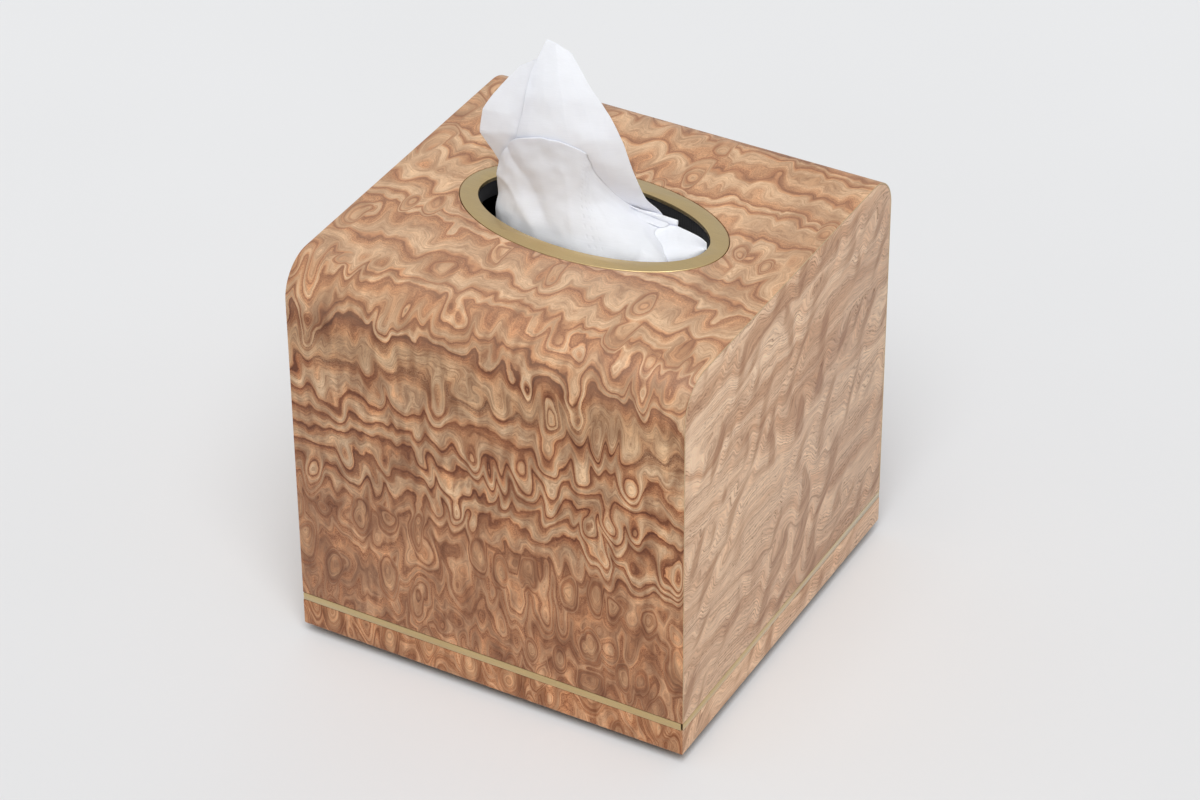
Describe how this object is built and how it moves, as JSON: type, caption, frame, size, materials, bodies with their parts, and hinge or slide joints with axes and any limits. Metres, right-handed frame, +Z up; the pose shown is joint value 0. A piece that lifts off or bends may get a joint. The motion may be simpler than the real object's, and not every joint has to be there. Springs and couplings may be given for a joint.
{
  "type": "tissue box cover",
  "caption": "Cube-shaped tissue box cover in figured wood veneer with round shoulders, a brass-ringed oval mouth, brass inlay strips and a loose base that holds the stack of tissues.",
  "frame": {"origin": "on the table, under the middle of the box", "axes": "+Z up, +X to the right along the long axis of the oval mouth, front face towards -Y"},
  "size_m": [0.14, 0.14, 0.1995],
  "materials": {
    "figured_veneer": "satin",
    "side_veneer": "satin",
    "core_board": "matte",
    "brass": "satin",
    "lining": "matte",
    "base_board": "matte",
    "felt": "matte",
    "magnet": "polished",
    "tissue_stack": "matte",
    "tissue": "matte"
  },
  "bodies": {
    "base": {"base_board": "base_board", "base_felt": "felt", "base_magnets": "magnet", "tissue_stack": "tissue_stack"},
    "cover": {"left_panel": "core_board", "right_panel": "core_board", "front_panel": "core_board", "back_panel": "core_board", "front_shoulder": "core_board", "back_shoulder": "core_board", "top_panel": "core_board", "corner_blocks": "core_board", "wrap_veneer": "figured_veneer", "front_plinth_veneer": "figured_veneer", "back_plinth_veneer": "figured_veneer", "left_veneer": "side_veneer", "right_veneer": "side_veneer", "left_plinth_veneer": "side_veneer", "right_plinth_veneer": "side_veneer", "front_strip": "brass", "right_strip": "brass", "back_strip": "brass", "left_strip": "brass", "opening_ring": "brass", "wrap_lining": "lining", "left_lining": "lining", "right_lining": "lining", "opening_collar": "lining", "cover_magnets": "magnet"},
    "tissue": {"pulled_tissue": "tissue"}
  },
  "joints": [
    {"name": "cover_lift", "type": "slide", "parent": "base", "child": "cover", "axis": [0, 0, 1], "range_m": [0, 0.2]},
    {"name": "tissue_pull", "type": "slide", "parent": "base", "child": "tissue", "axis": [0, 0, 1], "range_m": [0, 0.1]}
  ]
}
